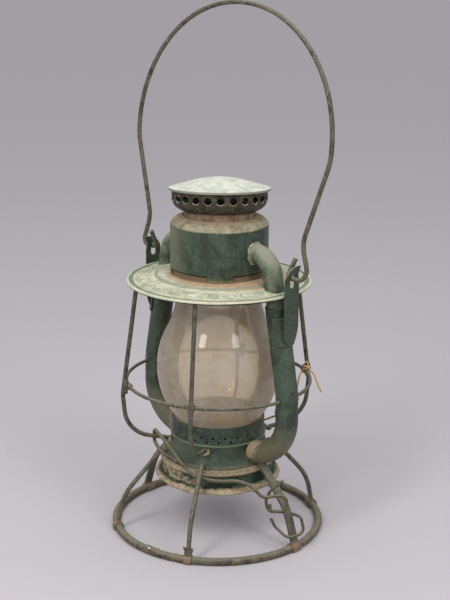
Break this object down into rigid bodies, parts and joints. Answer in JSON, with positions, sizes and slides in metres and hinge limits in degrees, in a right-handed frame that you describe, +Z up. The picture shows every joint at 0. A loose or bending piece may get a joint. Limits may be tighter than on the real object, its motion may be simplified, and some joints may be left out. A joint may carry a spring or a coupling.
{
  "type": "hand lantern",
  "caption": "Wire-guard tubular oil hand lantern with a short clear globe, lift-up hood, drop-out fount, sprung lock wire and swinging bail handle.",
  "frame": {"origin": "on the lantern's vertical axis, at the level it stands on", "axes": "+Z up; +X from the axis to the right side tube; the bail swings about X"},
  "size_m": [0.1886, 0.1582, 0.384],
  "materials": {
    "green_paint": "dark green paint, worn and stained",
    "dusty_paint": "green paint under a pale crust of dust and oxide",
    "rusted_sheet": "smoked and rusted sheet",
    "aged_wire": "dull wire with traces of paint and rust",
    "clear_glass": "clear glass under a film of dirt",
    "old_brass": "dull brown brass",
    "spring_wire": "dull spring wire",
    "cotton": "woven cotton, charred at the top"
  },
  "bodies": {
    "frame": {"base_ring": "aged_wire", "leg_wire_rear_right": "aged_wire", "leg_wire_rear_left": "aged_wire", "leg_wire_front_right": "aged_wire", "leg_wire_front_left": "aged_wire", "guard_upright_rear_right": "aged_wire", "guard_upright_rear_left": "aged_wire", "guard_upright_front_right": "aged_wire", "guard_upright_front_left": "aged_wire", "guard_belt_rear": "aged_wire", "guard_belt_front": "aged_wire", "strap_leg_right": "green_paint", "tube_upper_right": "green_paint", "tube_lower_right": "green_paint", "ear_right": "green_paint", "strap_leg_left": "green_paint", "tube_upper_left": "green_paint", "tube_lower_left": "green_paint", "ear_left": "green_paint", "lower_dome": "green_paint", "globe_plate": "green_paint", "globe": "clear_glass", "brim": "dusty_paint", "drum": "green_paint", "drum_crown": "dusty_paint", "hood_spring": "spring_wire", "strap_clip": "aged_wire"},
    "hood": {"cap": "dusty_paint", "cap_gallery": "rusted_sheet", "chimney_neck": "rusted_sheet", "globe_bell": "rusted_sheet"},
    "fount": {"fount_tank": "dusty_paint", "fount_base": "dusty_paint", "fount_collar": "old_brass", "burner_base": "old_brass", "burner_cone": "old_brass", "wick_tube": "old_brass"},
    "wick_raiser": {"wick_shaft": "old_brass", "wick_wheels": "old_brass", "wick_knob": "old_brass"},
    "wick": {"wick": "cotton"},
    "bail": {"bail": "aged_wire"},
    "lock_wire": {"fount_lock_wire": "aged_wire"}
  },
  "joints": [
    {"name": "bail_swing", "type": "hinge", "parent": "frame", "child": "bail", "pos_m": [0, 0, 0.2013], "axis": [1, 0, 0], "range_deg": [-94, 106]},
    {"name": "hood_lift", "type": "slide", "parent": "frame", "child": "hood", "axis": [-0.0576, 0.0607, 0.9965], "range_m": [0, 0.014], "stiffness_N_per_m": 60, "springref_m": -0.01, "deforming": ["hood_spring"]},
    {"name": "fount_drop", "type": "slide", "parent": "frame", "child": "fount", "axis": [0, 0, 1], "range_m": [-0.038, 0]},
    {"name": "lock_swing", "type": "hinge", "parent": "frame", "child": "lock_wire", "pos_m": [-0.02501, -0.0405, 0.0712], "axis": [-0.514, -0.8322, 0.208], "range_deg": [-2, 0]},
    {"name": "wick_turn", "type": "hinge", "parent": "fount", "child": "wick_raiser", "pos_m": [0.00395, 0, 0.068], "axis": [0, 1, 0], "range_deg": [-155, 64]},
    {"name": "wick_raise", "type": "slide", "parent": "fount", "child": "wick", "axis": [0, 0, 1], "range_m": [-0.008, 0.003]}
  ],
  "couplings": [
    {"joint": "wick_turn", "follows": "wick_raise", "rad_per_m": 322.58}
  ]
}
